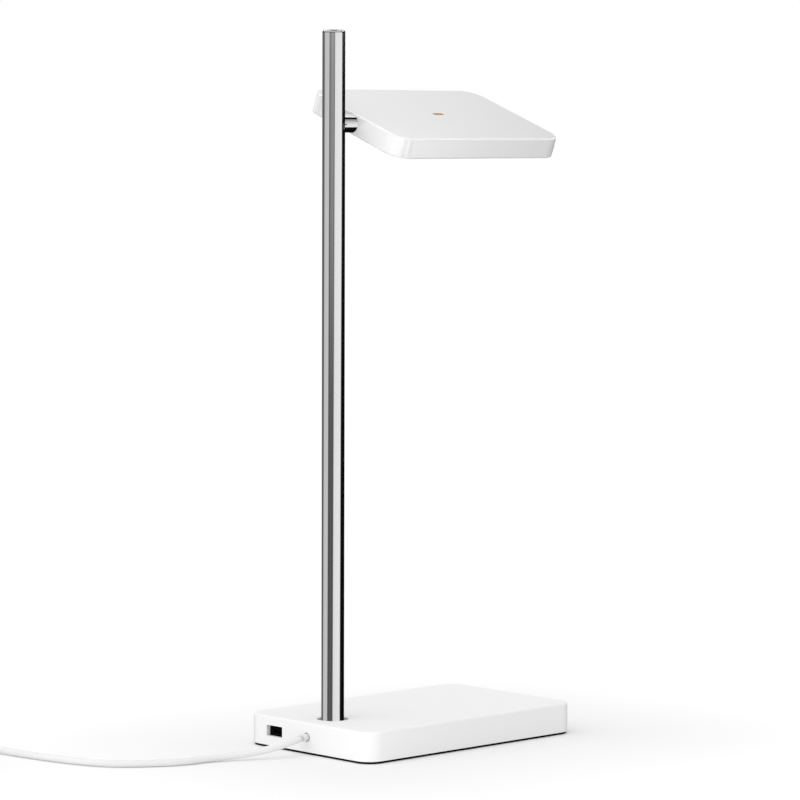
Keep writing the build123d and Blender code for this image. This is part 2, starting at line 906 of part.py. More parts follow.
with BuildPart() as head_housing:
    slab(
        head_plane.offset(-head_thickness / 2),
        [(head_mid_x, 0)],
        head_length,
        head_width,
        head_corner,
        head_thickness,
    )
    flat_faces = head_housing.faces().filter_by(Axis(head_plane.origin, head_plane.z_dir))
    fillet(flat_faces.edges(), head_edge)
    slab(
        head_plane.offset(-head_thickness / 2),
        [(head_mid_x, 0)],
        head_length - 2 * head_lip,
        head_width - 2 * head_lip,
        head_corner - head_lip,
        diffuser_top + head_thickness / 2,
        Mode.SUBTRACT,
    )
    slab(
        head_plane.offset(diffuser_top),
        [(head_mid_x, 0)],
        head_length - 2 * head_wall,
        head_width - 2 * head_wall,
        head_corner - head_wall,
        head_ceiling - diffuser_top,
        Mode.SUBTRACT,
    )
    boss = small_head + 2 * screw_gap
    pins(head_plane.offset(spreader_thickness), light_screw_places, boss, head_ceiling - spreader_thickness)
    pins(head_plane.offset(ear_top), ear_places, boss, head_ceiling - ear_top)
    pins(
        head_plane.offset(spreader_thickness),
        light_screw_places,
        small_tapped,
        head_ceiling - spreader_thickness,
        Mode.SUBTRACT,
    )
    pins(head_plane.offset(ear_top), ear_places, small_tapped, head_ceiling - ear_top, Mode.SUBTRACT)
    disc(on_stem(rim_x), sleeve_diameter + 2 * press_gap, head_wall, Mode.SUBTRACT)
    with BuildSketch(head_plane.offset(head_ceiling)):
        with Locations((head_mid_x, 0)):
            SlotOverall(key_length + 2 * key_gap, key_width + 2 * key_gap)
    extrude(amount=head_top, mode=Mode.SUBTRACT)
save(head_housing.part, "head_housing")

with BuildPart() as diffuser:
    slab(
        head_plane.offset(diffuser_bottom),
        [(head_mid_x, 0)],
        head_length - 2 * (head_lip + diffuser_gap),
        head_width - 2 * (head_lip + diffuser_gap),
        head_corner - head_lip - diffuser_gap,
        diffuser_thickness,
    )
save(diffuser.part, "diffuser")

with BuildPart() as pivot_bushes:
    sleeve_bore = journal_diameter + 2 * running_gap
    ring(on_stem(sleeve_start), sleeve_diameter, sleeve_bore, window_start - sleeve_start)
    ring(on_stem(window_end), sleeve_diameter, sleeve_bore, sleeve_end - window_end)
save(pivot_bushes.part, "pivot_bushes")

with BuildPart() as pivot_bracket:
    with BuildSketch(head_plane.offset(-bracket_half_height)):
        with Locations(((bracket_start + bracket_end) / 2, 0)):
            Rectangle(bracket_end - bracket_start, bracket_width)
    extrude(amount=2 * bracket_half_height)
    slab(head_plane.offset(-ear_top), [(ear_x, 0)], ear_length, ear_span, boss / 2, ear_thickness)
    with BuildSketch(head_plane.offset(stop_bar_height - bracket_half_height)):
        with Locations(((window_start + window_end) / 2, 0)):
            Rectangle(bracket_window, pivot_disc_diameter)
    extrude(amount=2 * bracket_half_height, mode=Mode.SUBTRACT)
    for side in (-1, 1):
        with BuildSketch(head_plane.offset(-bracket_half_height)):
            with Locations(
                (
                    (window_start + window_end) / 2,
                    side * (stop_bar_width + pivot_disc_diameter) / 4,
                )
            ):
                Rectangle(bracket_window, (pivot_disc_diameter - stop_bar_width) / 2)
        extrude(amount=stop_bar_height, mode=Mode.SUBTRACT)
    disc(
        on_stem(bracket_start),
        sleeve_diameter + 2 * press_gap,
        window_start - bracket_start,
        Mode.SUBTRACT,
    )
    disc(on_stem(window_end), sleeve_diameter + 2 * press_gap, bracket_end - window_end, Mode.SUBTRACT)
    pins(head_plane.offset(-ear_top), ear_places, small_tapped, ear_thickness, Mode.SUBTRACT)
save(pivot_bracket.part, "pivot_bracket")

with BuildPart() as bracket_screws:
    pins(head_plane.offset(-ear_top - small_head_height), ear_places, small_head, small_head_height)
    pins(head_plane.offset(-ear_top), ear_places, small_shank, screw_tip + ear_top)
save(bracket_screws.part, "bracket_screws")

light_places = [(light_mid_x, 0)]
notch_x = light_start + light_notch_length / 2
with BuildPart() as heat_spreader:
    with BuildSketch(head_plane):
        with Locations(*light_places):
            RectangleRounded(light_length, light_width, light_screw_inset)
        with Locations((notch_x, 0)):
            Rectangle(light_notch_length, light_notch_width, mode=Mode.SUBTRACT)
        with Locations((head_mid_x, 0)):
            Rectangle(switch_window, switch_window, mode=Mode.SUBTRACT)
        with Locations(*light_screw_places):
            Circle(small_tapped / 2, mode=Mode.SUBTRACT)
    extrude(amount=spreader_thickness)
save(heat_spreader.part, "heat_spreader")

with BuildPart() as led_board:
    with BuildSketch(head_plane.offset(-led_board_thickness)):
        with Locations(*light_places):
            RectangleRounded(light_length, light_width, light_screw_inset)
        with Locations(*light_screw_places):
            Circle(small_tapped / 2, mode=Mode.SUBTRACT)
    extrude(amount=led_board_thickness)
save(led_board.part, "led_board")

with BuildPart() as led_chips:
    with BuildSketch(head_plane.offset(-led_board_thickness - led_height)):
        with Locations(*light_places):
            with GridLocations(light_length / led_columns, light_width / led_rows, led_columns, led_rows):
                Rectangle(led_size, led_size)
    extrude(amount=led_height)
save(led_chips.part, "led_chips")

with BuildPart() as light_screws:
    below = -led_board_thickness
    pins(head_plane.offset(below - small_head_height), light_screw_places, small_head, small_head_height)
    pins(head_plane.offset(below), light_screw_places, small_shank, screw_tip - below)
save(light_screws.part, "light_screws")

with BuildPart() as led_plug:
    slab(head_plane, [(led_plug_x, 0)], led_plug_length, led_plug_width, screw_gap, led_plug_height)
save(led_plug.part, "led_plug")

lead_step = led_plug_height / 2
lead_start = stem_end + running_gap
lead_run = light_start + led_plug_setback - lead_start
with BuildPart() as head_lead:
    lead_points = [
        (lead_start, 0),
        (lead_start + lead_run * 0.3, 0),
        (lead_start + lead_run * 0.7, lead_step),
        (lead_start + lead_run, lead_step),
    ]
    tube(
        [head_plane.from_local_coords((x, 0, z)) for x, z in lead_points],
        lead_run * 0.3,
        lead_diameter,
    )
save(head_lead.part, "head_lead")

with BuildPart() as switch_body:
    with BuildSketch(head_plane):
        with Locations((head_mid_x, 0)):
            Rectangle(switch_side, switch_side)
    extrude(amount=switch_height)
    well = switch_height / 2
    pins(
        head_plane.offset(well),
        [(head_mid_x, 0)],
        plunger_diameter + 2 * plunger_gap,
        switch_height - well,
        Mode.SUBTRACT,
    )
save(switch_body.part, "switch_body")

# Switch key: an orange pill with a retaining flange, on the switch's plunger

flange_top = head_ceiling - key_headroom
flange_under = flange_top - key_flange_thickness
with BuildPart() as switch_key:
    with BuildSketch(head_plane.offset(flange_under)):
        with Locations((head_mid_x, 0)):
            SlotOverall(key_length + 2 * key_flange, key_width + 2 * key_flange)
    extrude(amount=key_flange_thickness)
    with BuildSketch(head_plane.offset(flange_top)):
        with Locations((head_mid_x, 0)):
            SlotOverall(key_length, key_width)
    extrude(amount=head_thickness / 2 + key_proud - flange_top)
save(switch_key.part, "switch_key")

with BuildPart() as switch_plunger:
    pins(head_plane.offset(flange_under - plunger_length), [(head_mid_x, 0)], plunger_diameter, plunger_length)
save(switch_plunger.part, "switch_plunger")

# Cord: it leaves the strain relief, droops to the table and curves away to its coil

cord_low = cord_diameter / 2
coil_low = tie_thickness + tie_gap + cord_diameter / 2
coil_outer_radius = coil_inner_radius + coil_turns_each_way * coil_pitch
coil_entry = (coil_centre[0] + coil_outer_radius, coil_centre[1] - cord_diameter, coil_low)
cord_route = [
    (end_x - boot_length, 0, mid_height),
    (end_x - boot_length - boot_straight, 0, mid_height),
    (-127.0, 1.2, 9.7),
    (-140.0, 6.5, 5.7),
    (-154.0, 13.0, 3.2),
    (-172.0, 19.5, cord_low),
    (-198.0, 25.4, cord_low),
    (-222.0, 36.5, cord_low),
    (-239.0, 58.0, cord_low),
    (-248.4, 82.8, cord_low),
    (-254.6, 111.0, cord_low),
    (-258.5, 139.0, cord_low),
    (coil_entry[0], 171.0, coil_low),
    coil_entry,
]


def route_radii(points):
    """The radius at each inner point of a route: as large as its two runs allow."""
    radii = []
    for before, here, after in zip(points, points[1:], points[2:]):
        turn = (Vector(here) - Vector(before)).get_angle(Vector(after) - Vector(here))
        shorter = min(dist(before, here), dist(here, after))
        radii.append(0.45 * shorter / tan(radians(turn / 2)))
    return radii


cord_radii = route_radii(cord_route)
print("cord radii", [round(r) for r in cord_radii])
with BuildPart() as cord_lead:
    lead_line = tube(cord_route, cord_radii, cord_diameter)
save(cord_lead.part, "cord_lead")
section_area = pi * cord_diameter**2 / 4
print("cord length", round(lead_line.length, 1))
print("cord volume over section times length", round(cord_lead.part.volume / section_area / lead_line.length, 4))


def coil_point(turn):
    """The coil's centreline: a spiral in on the table, a climb, and a spiral out on top."""
    inward = coil_turns_each_way
    outward = inward + coil_climb_turns
    if turn <= inward:
        radius = coil_outer_radius - coil_pitch * turn
        rise = 0.0
    elif turn < outward:
        step = turn - inward
        radius = coil_inner_radius - coil_pitch * step * (1 - step / coil_climb_turns)
        share = step / coil_climb_turns
        rise = share * share * (3 - 2 * share)
    else:
        radius = coil_inner_radius + coil_pitch * (turn - outward)
        rise = 1.0
    angle = 2 * pi * turn
    return Vector(
        coil_centre[0] + radius * cos(angle),
        coil_centre[1] + radius * sin(angle),
        coil_low + rise * coil_pitch,
    )


def coil_direction(turn):
    """The coil's direction at a place, level where it enters and leaves."""
    nudge = 1e-4
    return (coil_point(turn + nudge) - coil_point(turn - nudge)).normalized()


def biarc(start, start_way, end, end_way):
    """Two arcs that leave start and reach end in the given directions."""
    chord = end - start
    both = start_way + end_way
    bend = 2 * (1 - start_way.dot(end_way))
    reach = (-chord.dot(both) + sqrt(chord.dot(both) ** 2 + bend * chord.dot(chord))) / bend
    middle = (start + end + (start_way - end_way) * reach) * 0.5
    middle_way = (chord - both * reach).normalized()
    TangentArc(start, middle, tangent=start_way)
    TangentArc(middle, end, tangent=middle_way)


coil_turns = 2 * coil_turns_each_way + coil_climb_turns
quarters = round(4 * coil_turns)
entry_way = Vector(0, 1, 0)
exit_way = Vector(0, -1, 0)
stations = [coil_point(i / 4) for i in range(quarters + 1)]
ways = [entry_way] + [coil_direction(i / 4) for i in range(1, quarters)] + [exit_way]
coil_end = stations[-1] + exit_way * coil_exit_run
with BuildPart() as cord_coil:
    with BuildLine() as coil_path:
        Line(coil_entry, stations[0])
        for i in range(quarters):
            biarc(stations[i], ways[i], stations[i + 1], ways[i + 1])
        Line(stations[-1], coil_end)
    with BuildSketch(Plane(coil_entry, z_dir=entry_way)):
        Circle(cord_diameter / 2)
    sweep()
save(cord_coil.part, "cord_coil")

coil_wire = coil_path.wires()[0]
probe_count = round(coil_wire.length / 2)
probes = [tuple(coil_wire @ (i / probe_count)) for i in range(probe_count + 1)]
skip = round(4 * cord_diameter / 2)
least = min(
    dist(probes[i], probes[j]) for i in range(len(probes)) for j in range(i + skip, len(probes))
)
print("coil length", round(coil_wire.length, 1), "turns", coil_turns)
print("coil volume over section times length", round(cord_coil.part.volume / section_area / coil_wire.length, 4))
print("coil least gap to itself", round(least - cord_diameter, 2))

bundle_inner = coil_inner_radius - cord_diameter / 2 - tie_gap
tie_inner = sqrt(bundle_inner**2 - (tie_width / 2) ** 2)
tie_outer = coil_outer_radius + cord_diameter / 2 + tie_gap
tie_room = coil_pitch + cord_diameter + 2 * tie_gap
tie_middle = (tie_inner + tie_outer) / 2
with BuildPart() as cord_tie:
    with BuildSketch(Plane(origin=(coil_centre[0] - tie_width / 2, 0, 0), x_dir=(0, 1, 0), z_dir=(1, 0, 0))):
        with Locations((coil_centre[1] + tie_middle, tie_thickness + tie_room / 2)):
            RectangleRounded(
                tie_outer - tie_inner + 2 * tie_thickness, tie_room + 2 * tie_thickness, 2 * tie_thickness
            )
            RectangleRounded(tie_outer - tie_inner, tie_room, tie_thickness, mode=Mode.SUBTRACT)
    extrude(amount=tie_width)
save(cord_tie.part, "cord_tie")

# Plug-in adapter on the cord's far end

boot_face_y = coil_end.Y
case_face_y = boot_face_y - adapter_boot_length
case_end_y = case_face_y - adapter_length


def facing_back(y):
    """The plane square to Y at y, through the cord's end: it faces -Y, its axes are X and Z."""
    return Plane(origin=(coil_end.X, y, 0), x_dir=(1, 0, 0), z_dir=(0, -1, 0))


with BuildPart() as adapter_boot:
    with BuildSketch(facing_back(boot_face_y)):
        with Locations((0, coil_end.Z)):
            Circle(adapter_boot_tip / 2)
    with BuildSketch(facing_back(case_face_y)):
        with Locations((0, coil_end.Z)):
            Circle(adapter_boot_root / 2)
    loft()
save(adapter_boot.part, "adapter_boot")

with BuildPart() as adapter_case:
    slab(
        facing_back(case_face_y),
        [(0, adapter_height / 2)],
        adapter_width,
        adapter_height,
        adapter_edge,
        adapter_length,
    )
    fillet(adapter_case.faces().sort_by(Axis.Y)[0].edges(), adapter_edge / 4)
    fillet(adapter_case.faces().sort_by(Axis.Y)[-1].edges(), adapter_edge / 4)
save(adapter_case.part, "adapter_case")

with BuildPart() as adapter_blades:
    with BuildSketch(facing_back(case_end_y)):
        with Locations((0, adapter_height / 2)):
            with GridLocations(blade_pitch, 0, 2, 1):
                Rectangle(blade_thickness, blade_width)
    extrude(amount=blade_length)
save(adapter_blades.part, "adapter_blades")
print("cord in all", round(lead_line.length + coil_wire.length, 1))
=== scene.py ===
# %% [markdown]
# # A desk lamp with a rolling head
# The solid model of the lamp is already built, in metres, in pieces that are grouped into moving bodies.
# This lesson dresses it: a camera at the angle of the picture, a white studio, the white cord with its
# coil, and a finish for each piece. The model is loaded first. Nothing that is added here may make the
# lamp bigger.

# %% Load the lamp
import bpy
from math import cos, pi, radians, sin
from mathutils import Matrix, Vector


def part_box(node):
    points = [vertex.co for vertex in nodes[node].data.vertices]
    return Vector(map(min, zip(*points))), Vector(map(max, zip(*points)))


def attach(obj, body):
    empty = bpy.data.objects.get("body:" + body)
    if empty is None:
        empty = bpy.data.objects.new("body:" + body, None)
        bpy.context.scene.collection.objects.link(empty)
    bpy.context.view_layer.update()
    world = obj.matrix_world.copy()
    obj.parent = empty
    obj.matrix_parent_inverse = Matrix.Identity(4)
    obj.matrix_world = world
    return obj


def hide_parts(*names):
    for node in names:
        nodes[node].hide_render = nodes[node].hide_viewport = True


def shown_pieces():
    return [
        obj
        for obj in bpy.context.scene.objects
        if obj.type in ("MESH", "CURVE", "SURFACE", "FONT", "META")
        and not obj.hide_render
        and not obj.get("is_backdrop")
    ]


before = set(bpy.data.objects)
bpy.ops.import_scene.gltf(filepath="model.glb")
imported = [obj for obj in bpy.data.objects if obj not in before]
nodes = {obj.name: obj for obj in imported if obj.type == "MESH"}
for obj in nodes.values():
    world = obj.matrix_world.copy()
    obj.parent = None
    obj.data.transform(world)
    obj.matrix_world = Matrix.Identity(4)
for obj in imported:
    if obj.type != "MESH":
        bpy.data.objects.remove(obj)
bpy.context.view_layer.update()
scene = bpy.context.scene
scene.view_settings.view_transform = "Standard"

# %% [markdown]
# ## Camera
# The lamp was photographed from a little above, from the corner where the column stands, with a long
# lens, so its upright edges stay nearly parallel. A camera could be aimed by eye. Here its place, its
# three axes and its lens come from the corners of the base, the head and the column as they lie in the
# picture, so that each piece falls where the picture shows it.

# %% Camera at the picture's angle
camera_place = Vector((-1.836286, -1.901364, 0.440582))
camera_right = Vector((0.72194152, -0.69194713, 0.0031))
camera_up = Vector((0.0491253, 0.05572251, 0.99723704))
camera_back = camera_right.cross(camera_up).normalized()

camera_data = bpy.data.cameras.new("studio_camera")
camera_data.sensor_width = 36.0
camera_data.lens = 166.76
camera_data.clip_end = 5000.0
camera = bpy.data.objects.new("studio_camera", camera_data)
scene.collection.objects.link(camera)
turn = Matrix((camera_right, camera_up, camera_back)).transposed()
camera.matrix_world = Matrix.Translation(camera_place) @ turn.to_4x4()
scene.camera = camera
print("camera stands", round(camera_place.length, 2), "m from the lamp's foot")

# %% [markdown]
# ## Cord
# A white low-voltage lead leaves the short end of the base, droops to the table and curves away to the
# left. What the picture doesn't show is wound into a coil just outside it. A cord could be swept as a
# mesh, but a NURBS curve with a round bevel bends as smoothly as a real lead does, and its points are
# easy to read. The coil's points come from a loop: a spiral in on the table, a climb over half a turn,
# and a spiral out on top.

# %% Cord along the table and into its coil
cord_diameter = 0.0050
cord_exit = (-0.10825, 0.0, 0.01195)
coil_level = 0.00325
cord_points = [
    cord_exit,
    (-0.1148, 0.0, 0.0105),
    (-0.1270, 0.0012, 0.0082),
    (-0.1400, 0.0065, 0.0055),
    (-0.1540, 0.0130, 0.0038),
    (-0.1720, 0.0218, 0.0025),
    (-0.1980, 0.0242, 0.0025),
    (-0.2220, 0.0380, 0.0025),
    (-0.2390, 0.0535, 0.0025),
    (-0.2484, 0.0765, 0.0025),
    (-0.2546, 0.1060, 0.0025),
    (-0.2585, 0.1390, 0.0025),
    (-0.2604, 0.1710, coil_level),
    (-0.2604, 0.2000, coil_level),
]

coil_middle = (-0.300, 0.205)
coil_inner = 0.0200
coil_pitch = 0.0056
turns_each_way = 3.5
climb_turns = 0.5
coil_outer = coil_inner + turns_each_way * coil_pitch
coil_turns = 2 * turns_each_way + climb_turns
points_per_turn = 24

climb_end = turns_each_way + climb_turns
for i in range(1, round(coil_turns * points_per_turn)):
    turn_count = i / points_per_turn
    climbed = min(1.0, max(0.0, (turn_count - turns_each_way) / climb_turns))
    if turn_count <= turns_each_way:
        radius = coil_outer - coil_pitch * turn_count
    elif turn_count < climb_end:
        radius = coil_inner - coil_pitch * (turn_count - turns_each_way) * (1 - climbed)
    else:
        radius = coil_inner + coil_pitch * (turn_count - climb_end)
    rise = climbed * climbed * (3 - 2 * climbed) * coil_pitch
    angle = 2 * pi * turn_count
    place = (coil_middle[0] + radius * cos(angle), coil_middle[1] + radius * sin(angle), coil_level + rise)
    cord_points.append(place)
coil_top = coil_level + coil_pitch
coil_left = coil_middle[0] - coil_outer
tail_steps = (0.0, 0.0080, 0.0200)
cord_points += [(coil_left, coil_middle[1] - step, coil_top) for step in tail_steps]

cord_curve = bpy.data.curves.new("cord", "CURVE")
cord_curve.dimensions = "3D"
cord_curve.bevel_depth = 1.0
cord_curve.bevel_resolution = 5
cord_curve.resolution_u = 6
cord_curve.use_fill_caps = True
cord_line = cord_curve.splines.new("NURBS")
cord_line.points.add(len(cord_points) - 1)
for control, place in zip(cord_line.points, cord_points):
    control.co = (*place, 1.0)
    control.radius = cord_diameter / 2
cord_line.order_u = 3
cord_line.use_endpoint_u = True
cord = bpy.data.objects.new("cord", cord_curve)
scene.collection.objects.link(cord)
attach(cord, "base")
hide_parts("cord_lead", "cord_coil")
print("cord points:", len(cord_points))

# %% [markdown]
# ## Helpers for modelling
# The small pieces that follow are modelled as by hand: a primitive, some edit-mode work, then modifiers.
# A few helpers keep that short. Two of them set the selection, because an operator acts on all that is
# selected. One starts a block, two pick faces or edges by a test, and one rounds sharp edges. The last
# puts the finished shape's place into its mesh and ties it to the body it moves with.

# %% Modelling helpers
def clear_selection():
    """Nothing stays selected, so the next operator sees only the new piece."""
    if bpy.context.mode != "OBJECT":
        bpy.ops.object.mode_set(mode="OBJECT")
    bpy.ops.object.select_all(action="DESELECT")


def select_only(piece):
    """The piece alone is selected and active."""
    clear_selection()
    piece.select_set(True)
    bpy.context.view_layer.objects.active = piece


def new_block(name, middle, size):
    """A box of that size, as a start for a piece."""
    clear_selection()
    bpy.ops.mesh.primitive_cube_add(size=1.0, location=middle)
    piece = bpy.context.object
    piece.name = name
    piece.scale = size
    bpy.ops.object.transform_apply(location=False, rotation=False, scale=True)
    return piece


def pick_faces(piece, test):
    """Selects the faces that pass a test on their middle and normal, and goes to edit mode."""
    bpy.ops.object.mode_set(mode="EDIT")
    bpy.ops.mesh.select_mode(type="FACE")
    bpy.ops.mesh.select_all(action="DESELECT")
    bpy.ops.object.mode_set(mode="OBJECT")
    for face in piece.data.polygons:
        face.select = test(face.center, face.normal)
    bpy.ops.object.mode_set(mode="EDIT")


def pick_edges(piece, test):
    """Selects the edges that pass a test on their two ends, and goes to edit mode."""
    bpy.ops.object.mode_set(mode="EDIT")
    bpy.ops.mesh.select_mode(type="EDGE")
    bpy.ops.mesh.select_all(action="DESELECT")
    bpy.ops.object.mode_set(mode="OBJECT")
    corners = piece.data.vertices
    for edge in piece.data.edges:
        first, second = (corners[i].co for i in edge.vertices)
        edge.select = test(first, second)
    bpy.ops.object.mode_set(mode="EDIT")


def bevel_live(piece, width, segments, angle=30):
    """A bevel modifier on the sharp edges, applied."""
    bevel = piece.modifiers.new("soft_edges", "BEVEL")
    bevel.width = width
    bevel.segments = segments
    bevel.limit_method = "ANGLE"
    bevel.angle_limit = radians(angle)
    bpy.ops.object.modifier_apply(modifier=bevel.name)


def finish_piece(piece, body, slot, *replaced):
    """Shades the piece, puts its place into its mesh, ties it to its body, and hides the CAD pieces it replaces.
    """
    select_only(piece)
    bpy.ops.object.transform_apply(location=True, rotation=True, scale=True)
    bpy.ops.object.shade_smooth_by_angle(angle=radians(40))
    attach(piece, body)
    if replaced:
        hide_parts(*replaced)
    print(piece.name, "faces:", len(piece.data.polygons))


print("helpers ready")

# %% [markdown]
# ## Tie on the coil
# A soft band is wrapped once round the coil's turns and pressed onto itself. A ring of flat faces with a
# thickness would do, but a real band is pulled tight over round turns, so its corners are rounded before
# it gets its thickness.

# %% Tie band
band_thickness = 0.0006
band_corner = 0.0028
band_edge = 0.00018
tie_low, tie_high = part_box("cord_tie")
tie_middle = (tie_low + tie_high) / 2
tie_size = tie_high - tie_low
inner_size = (tie_size.x, tie_size.y - 2 * band_thickness, tie_size.z - 2 * band_thickness)
tie = new_block("tie_band", tie_middle, inner_size)
pick_faces(tie, lambda middle, normal: abs(normal.x) > 0.9)
bpy.ops.mesh.delete(type="FACE")
pick_edges(tie, lambda a, b: abs(a.x - b.x) > 0.005)
bpy.ops.mesh.bevel(offset=band_corner, segments=6, affect="EDGES")
bpy.ops.object.mode_set(mode="OBJECT")
wall = tie.modifiers.new("band_thickness", "SOLIDIFY")
wall.thickness = band_thickness
wall.offset = 1.0
bpy.ops.object.modifier_apply(modifier=wall.name)
bevel_live(tie, band_edge, 2, 50)
finish_piece(tie, "base", "tie_white", "cord_tie")

# %% [markdown]
# ## Press key
# The orange mark on the head's top is taken to be a flush press key. The solid key is a sharp-edged
# pill, so the visible key is remade with a fine rounded rim and a shallow dish for the fingertip. It is
# modelled flat, then turned into the head's plane, which is rolled about the stem.

# %% Key with a rounded rim
head_roll = radians(20.5)
pivot_place = Vector((-0.0779, 0.0, 0.4409))
key_x = 0.0991
key_top = 0.00755
key_size = (0.0096, 0.0028, 0.0024)
key_end_radius = 0.00136
rim_rise = 0.00010
rim_and_dish = ((0.00018, rim_rise), (0.00030, -0.00006), (0.00030, -0.00003))

key = new_block("press_key", (0, 0, 0), key_size)
pick_edges(key, lambda a, b: abs(a.z - b.z) > 0.001)
bpy.ops.mesh.bevel(offset=key_end_radius, segments=8, affect="EDGES")
pick_faces(key, lambda middle, normal: normal.z > 0.9)
for inset, rise in rim_and_dish:
    bpy.ops.mesh.inset(thickness=inset, depth=0.0)
    bpy.ops.transform.translate(value=(0, 0, rise))
bpy.ops.object.mode_set(mode="OBJECT")
key_place = Vector((key_x, 0, key_top - rim_rise - key_size[2] / 2))
head_turn = Matrix.Rotation(head_roll, 4, "X")
key.matrix_world = Matrix.Translation(pivot_place) @ head_turn @ Matrix.Translation(key_place)
finish_piece(key, "key", "key_orange", "switch_key")

# %% [markdown]
# ## Plug-in adapter
# The cord ends in a small wall adapter: a white case in two halves that meet in a fine seam, a ribbed
# strain relief, and two flat blades. The case is a block with rounded edges. The seam is cut as a
# narrow band of faces round the middle and pushed in. The face round the blades gets a shallow recess.

# %% Adapter case
case_corner = 0.0040
case_edge = 0.0011
seam_half = 0.00025
seam_depth = 0.0004
recess_margin = 0.0020
recess_step = 0.0003
case_low, case_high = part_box("adapter_case")
case_middle = (case_low + case_high) / 2
case_size = case_high - case_low
case = new_block("adapter_shell", case_middle, case_size)
pick_edges(case, lambda a, b: abs(a.y - b.y) > 0.01)
bpy.ops.mesh.bevel(offset=case_corner, segments=8, affect="EDGES")
bpy.ops.object.mode_set(mode="OBJECT")
bevel_live(case, case_edge, 4, 60)
bpy.ops.object.mode_set(mode="EDIT")
for seam_side in (-seam_half, seam_half):
    bpy.ops.mesh.select_all(action="SELECT")
    bpy.ops.mesh.bisect(plane_co=case_middle + Vector((0, 0, seam_side)), plane_no=(0, 0, 1))
pick_faces(case, lambda middle, normal: abs(middle.z) < seam_half * 0.8)
bpy.ops.transform.shrink_fatten(value=-seam_depth)
pick_faces(case, lambda middle, normal: normal.y < -0.999)
bpy.ops.mesh.inset(thickness=recess_margin, depth=0.0)
bpy.ops.mesh.inset(thickness=recess_step, depth=-recess_step)
finish_piece(case, "base", "adapter_white", "adapter_case")

# %% [markdown]
# The strain relief is turned like a spindle: a circle is extruded along the cord, a step at a time, and
# each step is widened or narrowed, so that soft ribs stand between grooves.

# %% Ribbed strain relief
tip_radius = 0.0028
root_radius = 0.0040
ribs = 5
groove = 0.84
rib_profile = ((0.55, 1.0), (0.08, groove), (0.29, groove), (0.08, 1.0))
relief_low, relief_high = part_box("adapter_boot")
relief_length = relief_high.y - relief_low.y
relief_tip = ((relief_low.x + relief_high.x) / 2, relief_high.y, (relief_low.z + relief_high.z) / 2)
clear_selection()
bpy.ops.mesh.primitive_circle_add(
    vertices=32, radius=tip_radius, fill_type="NGON", location=relief_tip, rotation=(pi / 2, 0, 0)
)
relief = bpy.context.object
relief.name = "ribbed_relief"
bpy.ops.object.transform_apply(location=False, rotation=True, scale=False)
bpy.ops.object.mode_set(mode="EDIT")
bpy.ops.mesh.select_all(action="SELECT")
radius_now = tip_radius
for i in range(ribs):
    plain_radius = tip_radius + (root_radius - tip_radius) * (i + 0.5) / ribs
    for length_share, width_share in rib_profile:
        step = relief_length / ribs * length_share
        bpy.ops.mesh.extrude_region_move(TRANSFORM_OT_translate={"value": (0, -step, 0)})
        grow = plain_radius * width_share / radius_now
        bpy.ops.transform.resize(value=(grow, 1.0, grow))
        radius_now = plain_radius * width_share
bpy.ops.mesh.select_all(action="SELECT")
bpy.ops.mesh.normals_make_consistent(inside=False)
bpy.ops.object.mode_set(mode="OBJECT")
bevel_live(relief, 0.00015, 2, 35)
finish_piece(relief, "base", "cord_white", "adapter_boot")

# %% [markdown]
# Each blade is a flat strip with a rounded tip and a hole near it. One is modelled, and the second is a
# copy with its own mesh, moved across.

# %% Two blades
blade_thickness = 0.0015
tip_corner = 0.0018
tip_half = -0.007
hole_radius = 0.0015
hole_from_tip = 0.0042
blades_low, blades_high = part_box("adapter_blades")
blade_middle = (blades_low + blades_high) / 2
first_x = blades_low.x + blade_thickness / 2
blade_size = (blade_thickness, blades_high.y - blades_low.y, blades_high.z - blades_low.z)
blade = new_block("blade_left", (first_x, blade_middle.y, blade_middle.z), blade_size)
pick_edges(blade, lambda a, b: abs(a.x - b.x) > 0.001 and a.y < tip_half)
bpy.ops.mesh.bevel(offset=tip_corner, segments=6, affect="EDGES")
clear_selection()
hole_place = (first_x, blades_low.y + hole_from_tip, blade_middle.z)
bpy.ops.mesh.primitive_cylinder_add(
    vertices=24, radius=hole_radius, depth=0.004, location=hole_place, rotation=(0, pi / 2, 0)
)
cutter = bpy.context.object
select_only(blade)
hole = blade.modifiers.new("blade_hole", "BOOLEAN")
hole.object = cutter
hole.operation = "DIFFERENCE"
bpy.ops.object.modifier_apply(modifier=hole.name)
bpy.data.objects.remove(cutter)
bevel_live(blade, 0.00012, 2, 50)
finish_piece(blade, "base", "blade_plated", "adapter_blades")
select_only(blade)
bpy.ops.object.duplicate(linked=False)
second_blade = bpy.context.object
second_blade.name = "blade_right"
bpy.ops.transform.translate(value=(blades_high.x - blades_low.x - blade_thickness, 0, 0))
finish_piece(second_blade, "base", "blade_plated", "adapter_blades")

# %% [markdown]
# ## Finishes
# Each finish is a Principled shader with a little life in it. Plain values sit on the shader's own
# sockets. Patterns read Object coordinates, which are metres here, so a grain of a third of a millimetre
# needs a scale of some thousands. One helper lays a fine grain over any finish: a noise that tints the
# colour slightly, and a finer one that raises the surface a little. The others find a finish's shader
# and give a finish to pieces.

